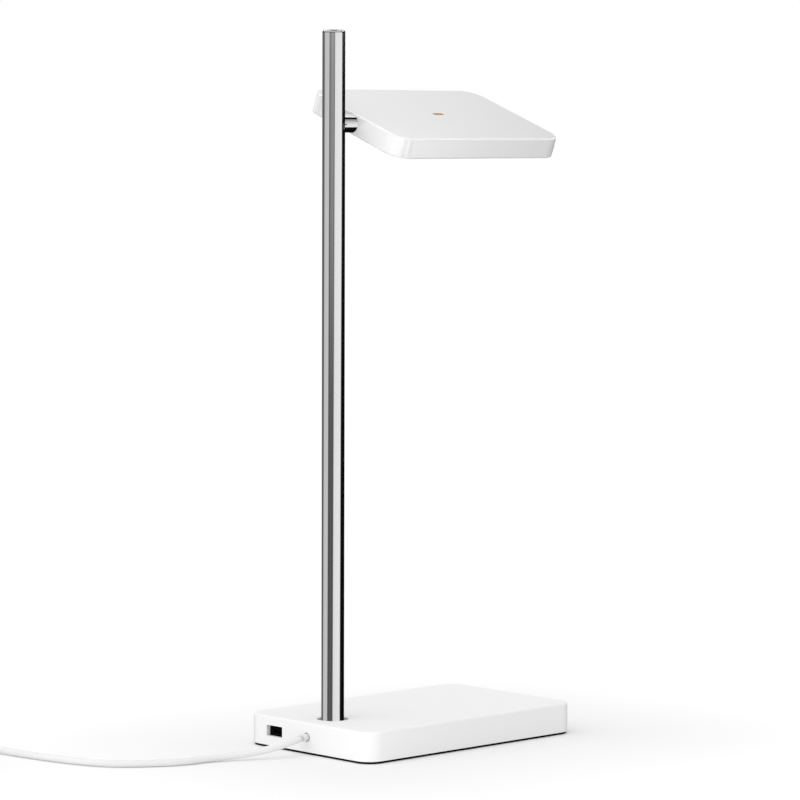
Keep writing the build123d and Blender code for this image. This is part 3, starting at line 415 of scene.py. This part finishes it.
# %% Helpers for finishes
def grained_finish(name, colour, roughness, grain, height, tint=0.02, metallic=0.0, patch=40.0):
    """A Principled finish with a fine raised grain and a faint drift of tone over some centimetres."""
    finish = bpy.data.materials.new(name)
    finish.use_nodes = True
    tree = finish.node_tree
    shader = tree.nodes["Principled BSDF"]
    shader.inputs["Roughness"].default_value = roughness
    shader.inputs["Metallic"].default_value = metallic
    places = tree.nodes.new("ShaderNodeTexCoord")
    drift = tree.nodes.new("ShaderNodeTexNoise")
    drift.inputs["Scale"].default_value = patch
    drift.inputs["Detail"].default_value = 3.0
    tone = tree.nodes.new("ShaderNodeMix")
    tone.data_type = "RGBA"
    tone.inputs["A"].default_value = (*[c * (1 - tint) for c in colour], 1.0)
    tone.inputs["B"].default_value = (*[min(1.0, c * (1 + tint)) for c in colour], 1.0)
    fine = tree.nodes.new("ShaderNodeTexNoise")
    fine.inputs["Scale"].default_value = grain
    fine.inputs["Detail"].default_value = 2.0
    raised = tree.nodes.new("ShaderNodeBump")
    raised.inputs["Strength"].default_value = 1.0
    raised.inputs["Distance"].default_value = height
    tree.links.new(places.outputs["Object"], drift.inputs["Vector"])
    tree.links.new(places.outputs["Object"], fine.inputs["Vector"])
    tree.links.new(drift.outputs["Fac"], tone.inputs["Factor"])
    tree.links.new(tone.outputs["Result"], shader.inputs["Base Color"])
    tree.links.new(fine.outputs["Fac"], raised.inputs["Height"])
    tree.links.new(raised.outputs["Normal"], shader.inputs["Normal"])
    return finish


def shader_of(finish):
    """The finish's Principled shader."""
    return finish.node_tree.nodes["Principled BSDF"]


def dress(finish, *pieces):
    """Gives a finish to pieces, in place of what they had."""
    for piece in pieces:
        piece.data.materials.clear()
        piece.data.materials.append(finish)


def wear(finish, *names):
    """Gives a finish to CAD pieces by name."""
    dress(finish, *[nodes[name] for name in names])


print("finish helpers ready")

# %% [markdown]
# The shells of the base and the head are moulded white plastic. The base has a fine satin grain, which
# keeps its highlights broad and soft. The head is glossy: upright lines of the room show on its rim.

# %% White shells
white_satin = grained_finish("white_satin", (0.88, 0.88, 0.88), 0.34, 2600.0, 0.000004, tint=0.006)
wear(white_satin, "base_housing")
white_gloss = grained_finish("white_gloss", (0.72, 0.72, 0.72), 0.06, 120.0, 0.000001, tint=0.006)
shader_of(white_gloss).inputs["IOR"].default_value = 2.1
wear(white_gloss, "head_housing")
print("white satin on the base, white gloss on the head")

# %% [markdown]
# The column is a polished, plated tube. Chrome shows almost nothing of its own, so its look comes from
# what stands round it. Its finish has only a trace of polishing lines and a slight haze.

# %% Chrome
chrome = grained_finish("column_chrome", (0.82, 0.82, 0.82), 0.07, 900.0, 0.00000015, tint=0.015, metallic=1.0)
wear(chrome, "column_tube", "column_cap", "pivot_stem")
print("chrome on column, cap and stem")

# %% [markdown]
# The pad under the base and the charging socket are black. Black plastic that mirrors a white room turns
# grey, so these finishes have no gloss at all.

# %% Black pad and socket
pad_black = grained_finish("pad_black", (0.006, 0.006, 0.006), 0.9, 1500.0, 0.00004, tint=0.15)
wear(pad_black, "foot_pad")
socket_black = grained_finish("socket_black", (0.006, 0.006, 0.007), 0.55, 3000.0, 0.000005, tint=0.1)
wear(socket_black, "usb_gasket", "usb_tongue")
shell_black = grained_finish("shell_black", (0.012, 0.012, 0.012), 0.5, 900.0, 0.000004, tint=0.08)
wear(shell_black, "usb_shell")
for black in (pad_black, socket_black, shell_black):
    shader_of(black).inputs["Specular IOR Level"].default_value = 0.0
print("black pad and socket done")

# %% [markdown]
# Light enters the cord's soft sleeve and spreads in it, which keeps its shaded side pale. That is
# subsurface scattering. The strain relief in the cord's hole has the same sleeve. Inside the wall of the
# base its colour is painted black, as painted shade, which draws the dark edge of the hole.

# %% Cord and strain relief
sleeve_tone = (0.79, 0.79, 0.785)
sleeve_depth = 0.006
# Between these two places along X the strain relief's colour goes from white to black: painted shade inside the
# cord's hole.
painted_shade_from, painted_shade_black_from = -0.1026, -0.1012
cord_white = grained_finish("cord_white", sleeve_tone, 0.40, 1800.0, 0.000008, tint=0.012)
boot_white_painted_shade = grained_finish("boot_white_painted_shade", sleeve_tone, 0.40, 1800.0, 0.000008, tint=0.012)
for sleeve in (cord_white, boot_white_painted_shade):
    shader_of(sleeve).inputs["Subsurface Weight"].default_value = 1.0
    shader_of(sleeve).inputs["Subsurface Radius"].default_value = (1.0, 1.0, 1.0)
    shader_of(sleeve).inputs["Subsurface Scale"].default_value = sleeve_depth
# The strain relief's colour is mixed to near black inside the base wall: painted shade for the dark edge of the
# cord's hole.
boot_tree = boot_white_painted_shade.node_tree
boot_place = boot_tree.nodes.new("ShaderNodeSeparateXYZ")
painted_shade_mask = boot_tree.nodes.new("ShaderNodeMapRange")
painted_shade_mask.inputs["From Min"].default_value = painted_shade_from
painted_shade_mask.inputs["From Max"].default_value = painted_shade_black_from
boot_painted_shade = boot_tree.nodes.new("ShaderNodeMix")
boot_painted_shade.data_type = "RGBA"
boot_painted_shade.inputs["B"].default_value = (0.01, 0.01, 0.01, 1.0)
boot_tree.links.new(boot_tree.nodes["Texture Coordinate"].outputs["Object"], boot_place.inputs["Vector"])
boot_tree.links.new(boot_place.outputs["X"], painted_shade_mask.inputs["Value"])
boot_tree.links.new(painted_shade_mask.outputs["Result"], boot_painted_shade.inputs["Factor"])
boot_tree.links.new(boot_tree.nodes["Mix"].outputs["Result"], boot_painted_shade.inputs["A"])
boot_tree.links.new(boot_painted_shade.outputs["Result"], shader_of(boot_white_painted_shade).inputs["Base Color"])
wear(boot_white_painted_shade, "cord_boot")
dress(cord_white, cord, relief)
print("cord and strain relief done")

# %% [markdown]
# The tie is a rough cloth band, the adapter a lightly textured white, its blades are nickel plated, and
# the key is a satin orange with little gloss, so that it keeps its colour at a flat angle.

# %% Tie, adapter and key
tie_cloth = grained_finish("tie_cloth", (0.72, 0.72, 0.71), 0.95, 2200.0, 0.00012, tint=0.08)
dress(tie_cloth, tie)
adapter_white = grained_finish("adapter_white", (0.86, 0.86, 0.86), 0.5, 1600.0, 0.00002, tint=0.01)
dress(adapter_white, case)
blade_nickel = grained_finish("blade_nickel", (0.70, 0.68, 0.64), 0.22, 1200.0, 0.000003, tint=0.03, metallic=1.0)
dress(blade_nickel, blade, second_blade)
key_orange = grained_finish("key_orange", (0.46, 0.185, 0.003), 0.45, 2400.0, 0.000004, tint=0.03)
shader_of(key_orange).inputs["Specular IOR Level"].default_value = 0.1
dress(key_orange, key)
print("tie, adapter and key done")

# %% [markdown]
# What the shells hide still has its own finish, because the lamp may be opened or cut away: zinc-plated
# steel, cast alloy, raw iron, black acetal, the green board and its parts, and the white board with its
# yellow light chips.

# %% Inner finishes
zinc_steel = grained_finish("zinc_steel", (0.56, 0.57, 0.58), 0.32, 700.0, 0.000006, tint=0.06, metallic=1.0)
wear(
    zinc_steel, "base_plate", "base_screws", "ballast_screws", "bearing_screws", "stop_dowel", "board_screws",
    "column_foot", "foot_nut", "spring_washer", "stop_pin", "pivot_spring", "pivot_ring", "bracket_screws",
    "light_screws",
)
cast_alloy = grained_finish("cast_alloy", (0.60, 0.61, 0.62), 0.5, 900.0, 0.00003, tint=0.06, metallic=1.0)
wear(cast_alloy, "bearing_block", "cord_anchor", "column_insert", "pivot_bracket")
raw_iron = grained_finish("raw_iron", (0.10, 0.10, 0.105), 0.7, 500.0, 0.00015, tint=0.2, metallic=1.0)
wear(raw_iron, "ballast")
black_acetal = grained_finish("black_acetal", (0.02, 0.02, 0.02), 0.4, 1500.0, 0.000008, tint=0.1)
wear(
    black_acetal, "swivel_bush", "thrust_washer", "pivot_bushes", "pivot_washer", "driver_chips", "power_inductor",
    "switch_body", "switch_plunger",
)
board_green = grained_finish("board_green", (0.02, 0.16, 0.06), 0.35, 1200.0, 0.00001, tint=0.2, patch=300.0)
wear(board_green, "power_board")
board_white = grained_finish("board_white", (0.82, 0.82, 0.80), 0.4, 1200.0, 0.00001, tint=0.02)
wear(board_white, "led_board", "lead_connector", "led_plug")
drawn_can = grained_finish("drawn_can", (0.68, 0.69, 0.70), 0.28, 800.0, 0.000005, tint=0.04, metallic=1.0)
wear(drawn_can, "power_capacitors", "board_standoffs", "heat_spreader")
contact_gold = grained_finish("contact_gold", (0.76, 0.55, 0.22), 0.25, 1500.0, 0.000003, tint=0.04, metallic=1.0)
wear(contact_gold, "usb_contacts")
lead_sleeve = grained_finish("lead_sleeve", (0.03, 0.03, 0.03), 0.55, 1500.0, 0.00001, tint=0.1)
wear(lead_sleeve, "supply_wires", "base_lead", "column_lead", "head_lead")
phosphor = grained_finish("phosphor", (0.85, 0.66, 0.18), 0.45, 2000.0, 0.00001, tint=0.05)
wear(phosphor, "led_chips")
opal = grained_finish("opal_sheet", (0.86, 0.86, 0.84), 0.55, 2200.0, 0.00002, tint=0.01)
wear(opal, "diffuser")
print("inner finishes done")

# %% [markdown]
# ## Cord

print("cord built as a curve")

# %% [markdown]
# ## Studio
# The lamp stands on a white sweep that takes its soft shadow. Away from the base the sweep glows a
# little, so that it runs into the white background without an edge. The distance past the base's edges
# comes from a few vector steps. The sweep is kept out of mirror rays, because in the picture the chrome
# shows the room down to its foot and not the table.

# %% White floor
floor_tone = 0.906
floor_glow = 0.095
glow_from, glow_full = 0.005, 0.16
clear_selection()
bpy.ops.mesh.primitive_plane_add(size=3000.0, location=(0, 0, -0.0002))
floor = bpy.context.object
floor.name = "white_floor"
floor.visible_glossy = False
floor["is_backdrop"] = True
floor_white = bpy.data.materials.new("floor_white")
floor_white.use_nodes = True
floor_tree = floor_white.node_tree
floor_shader = shader_of(floor_white)
floor_shader.inputs["Roughness"].default_value = 1.0
floor_shader.inputs["Specular IOR Level"].default_value = 0.0
floor_place = floor_tree.nodes.new("ShaderNodeTexCoord").outputs["Object"]
base_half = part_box("base_plate")[1]
past_base = (("ABSOLUTE", None), ("SUBTRACT", (base_half.x, base_half.y, 0.0)), ("MAXIMUM", (0.0, 0.0, 0.0)))
for operation, other in past_base:
    floor_step = floor_tree.nodes.new("ShaderNodeVectorMath")
    floor_step.operation = operation
    floor_tree.links.new(floor_place, floor_step.inputs[0])
    if other:
        floor_step.inputs[1].default_value = other
    floor_place = floor_step.outputs["Vector"]
floor_reach = floor_tree.nodes.new("ShaderNodeVectorMath")
floor_reach.operation = "LENGTH"
floor_fade = floor_tree.nodes.new("ShaderNodeMapRange")
floor_fade.inputs["From Min"].default_value = glow_from
floor_fade.inputs["From Max"].default_value = glow_full
floor_fade.inputs["To Max"].default_value = floor_glow
floor_shader.inputs["Base Color"].default_value = (floor_tone, floor_tone, floor_tone, 1.0)
floor_shader.inputs["Emission Color"].default_value = (1.0, 1.0, 1.0, 1.0)
floor_tree.links.new(floor_place, floor_reach.inputs[0])
floor_tree.links.new(floor_reach.outputs["Value"], floor_fade.inputs["Value"])
floor_tree.links.new(floor_fade.outputs["Result"], floor_shader.inputs["Emission Strength"])
floor.data.materials.append(floor_white)
print("white floor done")

# %% [markdown]
# The world lights the lamp evenly from all sides. To the camera and to mirrors it is plain white.

# %% White world
world = bpy.data.worlds.new("white_studio")
scene.world = world
world.use_nodes = True
room = world.node_tree
soft_light = room.nodes["Background"]
soft_light.inputs["Color"].default_value = (1.0, 1.0, 1.0, 1.0)
soft_light.inputs["Strength"].default_value = 0.845
white_wall = room.nodes.new("ShaderNodeBackground")
white_wall.inputs["Color"].default_value = (1.0, 1.0, 1.0, 1.0)
white_wall.inputs["Strength"].default_value = 1.0
rays = room.nodes.new("ShaderNodeLightPath")
seen = rays.outputs["Is Camera Ray"]
for ray_kind in ("Is Glossy Ray", "Is Transmission Ray"):
    either = room.nodes.new("ShaderNodeMath")
    either.operation = "MAXIMUM"
    room.links.new(seen, either.inputs[0])
    room.links.new(rays.outputs[ray_kind], either.inputs[1])
    seen = either.outputs["Value"]
light_or_wall = room.nodes.new("ShaderNodeMixShader")
room.links.new(seen, light_or_wall.inputs["Fac"])
room.links.new(soft_light.outputs["Background"], light_or_wall.inputs[1])
room.links.new(white_wall.outputs["Background"], light_or_wall.inputs[2])
room.links.new(light_or_wall.outputs["Shader"], room.nodes["World Output"].inputs["Surface"])
print("world nodes:", len(room.nodes))

# %% [markdown]
# Chrome in an all-white room looks like white plastic. A photographer stands grey and black flags round
# it, and those draw the upright bands on the column. Here the flags are far rings that only mirror rays
# can see. The helpers for them come first. One hides a thing from all but mirror rays. One ties a light
# to a piece through Blender's light linking. Three build the nodes for the greys round a ring.

# %% Helpers for flags
to_camera = Vector((camera_place.x, camera_place.y, 0.0)).normalized()
to_right = Vector((camera_right.x, camera_right.y, 0.0)).normalized()


def mirror_only(piece):
    """Only mirror rays see this piece of the studio."""
    piece.visible_camera = False
    piece.visible_diffuse = False
    piece.visible_shadow = False
    piece.visible_transmission = False
    piece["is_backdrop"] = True


def link_light(light, piece_name, state):
    """The light reaches the named piece alone (INCLUDE) or every piece but that one (EXCLUDE)."""
    linked = bpy.data.collections.new(light.name + "_link")
    linked.objects.link(nodes[piece_name])
    linked.collection_objects[0].light_linking.link_state = state
    light.light_linking.receiver_collection = linked


def link_math(tree, operation, first, second):
    """A math node on two values, each a number or another node's output."""
    node = tree.nodes.new("ShaderNodeMath")
    node.operation = operation
    for socket, value in zip(node.inputs, (first, second)):
        if isinstance(value, (int, float)):
            socket.default_value = value
        else:
            tree.links.new(value, socket)
    return node.outputs["Value"]


def link_share(tree, value, low, high):
    """How far a value has come from low to high, as 0 to 1."""
    node = tree.nodes.new("ShaderNodeMapRange")
    node.interpolation_type = "SMOOTHSTEP"
    node.inputs["From Min"].default_value = low
    node.inputs["From Max"].default_value = high
    tree.links.new(value, node.inputs["Value"])
    return node.outputs["Result"]


def link_bands(tree, place_round, stops):
    """Greys round a ring: each stop is an angle from the camera, to the right in degrees, and a grey."""
    node = tree.nodes.new("ShaderNodeValToRGB")
    bands = node.color_ramp.elements
    while len(bands) < len(stops):
        bands.new(0.5)
    for band, (angle_right, grey) in zip(bands, stops):
        band.position = angle_right / 360 + 0.5
        band.color = (grey, grey, grey, 1.0)
    tree.links.new(place_round, node.inputs["Fac"])
    return node.outputs["Color"]


print("flag helpers ready")

# %% [markdown]
# A ring is an open cylinder that gives off its own grey. The grey depends on the angle round it, with the
# camera at nought and the right side positive. The first ring stands round the horizon. Going round it
# from behind on the left, it is grey, light, dark where the camera stands, white on the right and black
# behind on the right. Lower down, its bands turn a little and the one behind the camera gets darker.

# %% Ring of flags round the horizon
ring_radius = 30.0
horizon_low, sky_low = -6.4, 1.5
lower_until, upper_from = -2.6, 0.6
horizon_turn = -0.0067
black_flag = 0.004
left_flags = [(-180, 0.13), (-108, 0.13), (-100, 0.62)]


def flag_ring(name, low, high, stops, lower_stops=None, turn_per_metre=0.0):
    """A far upright ring that only mirror rays see, with bands of grey round it."""
    clear_selection()
    bpy.ops.mesh.primitive_cylinder_add(
        vertices=180, radius=ring_radius, depth=1.0, end_fill_type="NOTHING", location=(0, 0, 0.5)
    )
    ring = bpy.context.object
    ring.name = name
    bpy.ops.object.transform_apply(location=True, rotation=False, scale=False)
    ring.scale = (1.0, 1.0, high - low)
    ring.location = (0, 0, low)
    bpy.ops.object.transform_apply(location=True, rotation=False, scale=True)
    mirror_only(ring)
    finish = bpy.data.materials.new(name)
    finish.use_nodes = True
    tree = finish.node_tree
    tree.nodes.remove(tree.nodes["Principled BSDF"])
    place = tree.nodes.new("ShaderNodeTexCoord").outputs["Object"]
    sides = []
    for direction in (to_right, to_camera, Vector((0, 0, 1))):
        along = tree.nodes.new("ShaderNodeVectorMath")
        along.operation = "DOT_PRODUCT"
        along.inputs[1].default_value = direction
        tree.links.new(place, along.inputs[0])
        sides.append(along.outputs["Value"])
    angle = link_math(tree, "ARCTAN2", sides[0], sides[1])
    place_round = link_math(tree, "ADD", link_math(tree, "MULTIPLY", angle, 1 / (2 * pi)), 0.5)
    place_round = link_math(tree, "ADD", place_round, link_math(tree, "MULTIPLY", sides[2], turn_per_metre))
    grey = link_bands(tree, place_round, stops)
    if lower_stops:
        bands = tree.nodes.new("ShaderNodeMix")
        bands.data_type = "RGBA"
        tree.links.new(link_share(tree, sides[2], lower_until, upper_from), bands.inputs["Factor"])
        tree.links.new(link_bands(tree, place_round, lower_stops), bands.inputs["A"])
        tree.links.new(grey, bands.inputs["B"])
        grey = bands.outputs["Result"]
    shine = tree.nodes.new("ShaderNodeEmission")
    tree.links.new(grey, shine.inputs["Color"])
    tree.links.new(shine.outputs["Emission"], tree.nodes["Material Output"].inputs["Surface"])
    ring.data.materials.append(finish)
    print(name, "from", low, "to", high, "m")
    return ring


flag_ring(
    "horizon_flags", horizon_low, sky_low,
    left_flags + [(-50, 0.66), (-41, 0.10), (-30, 0.28), (-2, 0.34), (7, 0.13), (15, 0.92), (86, 0.98),
                  (97, black_flag), (180, black_flag)],
    left_flags + [(-50, 0.66), (-41, 0.05), (-30, 0.11), (-2, 0.10), (7, 0.08), (15, 0.88), (82, 0.95),
                  (93, black_flag), (180, black_flag)],
    horizon_turn,
)

# %% [markdown]
# Below the horizon, narrow dark flags draw the upright lines on the head's corner, and a black one fades
# the right end of its rim. Further down a black flag shows under the stem.

# %% Rings below the horizon
under_low, foot_low = -64.0, -22.2
flag_ring(
    "foot_flags", foot_low, horizon_low,
    left_flags + [(-60, 0.66), (-50, 1.0), (12, 1.0), (16, 0.0), (34, 0.0), (38, 1.0), (50, 1.0), (56, 0.15),
                  (76, 0.15), (86, 1.0), (96.4, 1.0), (98.8, 0.02), (180, black_flag)],
)
flag_ring(
    "under_flags", under_low, foot_low,
    left_flags + [(-50, 0.66), (15, 0.9), (92, 0.95), (97, black_flag), (165, black_flag), (172, 0.13),
                  (180, 0.13)],
)

# %% [markdown]
# Above the horizon the front of the room is light grey, which gives the column's cap its tone, and one
# black slot draws the line along the stem. Behind, a soft grey edge fades the right of the head's top,
# and the ceiling is dark, which draws a thin line over the column's cap. To the cap the lowest of these
# rings is black. That draws the fine line under its rounding and darkens its two sides.

# %% Rings above the horizon
mid_low, slot_low, high_low, zenith_low, zenith_high = 10.9, 21.8, 33.4, 82.4, 570.0
front_grey = 0.72
ceiling = 0.03
open_left = [(-180, 1.0), (-118, 1.0), (-110, front_grey)]
low_sky = flag_ring("low_sky", sky_low, mid_low, open_left + [(98, front_grey), (106, 1.0), (180, 1.0)])
link_light(low_sky, "column_cap", "EXCLUDE")
flag_ring(
    "mid_sky", mid_low, slot_low,
    open_left + [(84, front_grey), (88, 0.42), (99, 0.42), (106, 1.0), (160, 1.0), (166, 0.35), (169.5, 0.62),
                 (173.5, 1.0), (180, 1.0)],
)
flag_ring(
    "slot_sky", slot_low, high_low,
    open_left + [(94, front_grey), (99, black_flag), (128, black_flag), (132, 1.0), (180, 1.0)],
)
flag_ring(
    "high_sky", high_low, zenith_low,
    [(-180, ceiling), (-152, ceiling), (-142, front_grey), (142, front_grey), (152, ceiling), (180, ceiling)],
)
flag_ring("zenith", zenith_low, zenith_high, [(-180, ceiling), (180, ceiling)])

# %% [markdown]
# A small white card stands just in front of the stem, for mirror rays only. It keeps the black of the
# horizon off the stem's lower half, as the white head does in the picture.

# %% White card at the stem
card_low = Vector((-0.0695, -0.0080, 0.4368))
card_high = Vector((-0.0520, -0.0080, 0.4405))
clear_selection()
bpy.ops.mesh.primitive_plane_add(size=1.0, location=(card_low + card_high) / 2, rotation=(pi / 2, 0, 0))
card = bpy.context.object
card.name = "stem_card"
card.scale = (card_high.x - card_low.x, card_high.z - card_low.z, 1.0)
bpy.ops.object.transform_apply(location=True, rotation=True, scale=True)
mirror_only(card)
card_white = bpy.data.materials.new("card_white")
card_white.use_nodes = True
card_tree = card_white.node_tree
card_shine = card_tree.nodes.new("ShaderNodeEmission")
card_shine.inputs["Color"].default_value = (0.95, 0.95, 0.95, 1.0)
card_tree.links.new(card_shine.outputs["Emission"], card_tree.nodes["Material Output"].inputs["Surface"])
card.data.materials.append(card_white)
print("stem card done")

# %% [markdown]
# Fine white lines run along the head's upper edges, where its rounded rim mirrors bright windows. Two
# wide lamps high round the head draw them. They are for its gloss alone, so the light on its faces stays
# as it is, and light linking keeps them from every other piece.

# %% Lamps for the head's edges
edge_lamp_reach = 3.0


def new_lamp(name, kind, energy, shines_along):
    """A lamp of that kind and energy, turned to shine along a direction."""
    lamp = bpy.data.objects.new(name, bpy.data.lights.new(name, kind))
    lamp.data.energy = energy
    lamp.rotation_euler = shines_along.to_track_quat("-Z", "Y").to_euler()
    scene.collection.objects.link(lamp)
    print(name, "energy", round(energy, 4))
    return lamp


def edge_lamp(name, angle_right, rise, width, height, shine):
    """A wide lamp for the head's gloss alone, at an angle from the camera and an angle of height."""
    level = to_camera * cos(radians(angle_right)) + to_right * sin(radians(angle_right))
    outward = level * cos(radians(rise)) + Vector((0, 0, sin(radians(rise))))
    lamp = new_lamp(name, "AREA", shine * 4 * width * height, -outward)
    lamp.data.shape = "RECTANGLE"
    lamp.data.size = width
    lamp.data.size_y = height
    lamp.location = pivot_place + outward * edge_lamp_reach
    lamp.visible_camera = False
    lamp.visible_diffuse = False
    lamp.visible_transmission = False
    link_light(lamp, "head_housing", "INCLUDE")


edge_lamp("front_edge_lamp", 128, 40, 3.4, 0.84, 0.9)
edge_lamp("end_edge_lamp", -140, 62, 2.4, 1.5, 1.6)

# %% [markdown]
# In the picture the chrome also shows nothing of the lamp itself: its black edge runs on unbroken beside
# the white head and down into the base. So the lamp's own pieces are kept out of mirror rays too.

# %% Keep the lamp out of mirrors
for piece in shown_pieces():
    piece.visible_glossy = False

# %% [markdown]
# ## Light
# The room gives most of the light, so the base has a soft shadow all round it. One large soft lamp, far
# to the left and above, lights the short end of the base most, then its top. It is a sun lamp with a wide
# disc, which gives the same light everywhere on the floor, so the sweep stays even. A small soft lamp
# hangs in front of the head on the left, so that the head's light falls off to the right. Three very weak
# ones lift the near corners of the head and the base and the head's short end. Each small lamp lights one
# piece alone, so none leaves a patch on the floor. Mirrors don't see these lamps, only the room.

# %% Soft lamps
left_softbox = new_lamp("left_softbox", "SUN", 0.80, Vector((0.75, -0.05, -0.66)))
left_softbox.data.angle = radians(80)
left_softbox.visible_glossy = False


def near_lamp(name, power, size, place, aim, piece_name):
    """A small soft lamp close to one piece and for it alone, so its light falls off quickly."""
    lamp = new_lamp(name, "AREA", power, Vector(aim) - Vector(place))
    lamp.data.size = size
    lamp.location = place
    lamp.visible_glossy = False
    lamp.visible_camera = False
    link_light(lamp, piece_name, "INCLUDE")


near_lamp("head_softbox", 0.092, 0.10, (-0.10, -0.20, 0.60), (-0.02, 0.0, 0.44), "head_housing")
near_lamp("head_corner_lamp", 0.0045, 0.03, (-0.06, -0.11, 0.42), (-0.03, -0.05, 0.42), "head_housing")
near_lamp("head_end_lamp", 0.0200, 0.03, (-0.14, -0.06, 0.43), (-0.056, -0.03, 0.43), "head_housing")
near_lamp("base_corner_lamp", 0.011, 0.03, (-0.165, -0.118, 0.02), (-0.095, -0.058, 0.012), "base_housing")

# %% The end
bpy.context.view_layer.update()
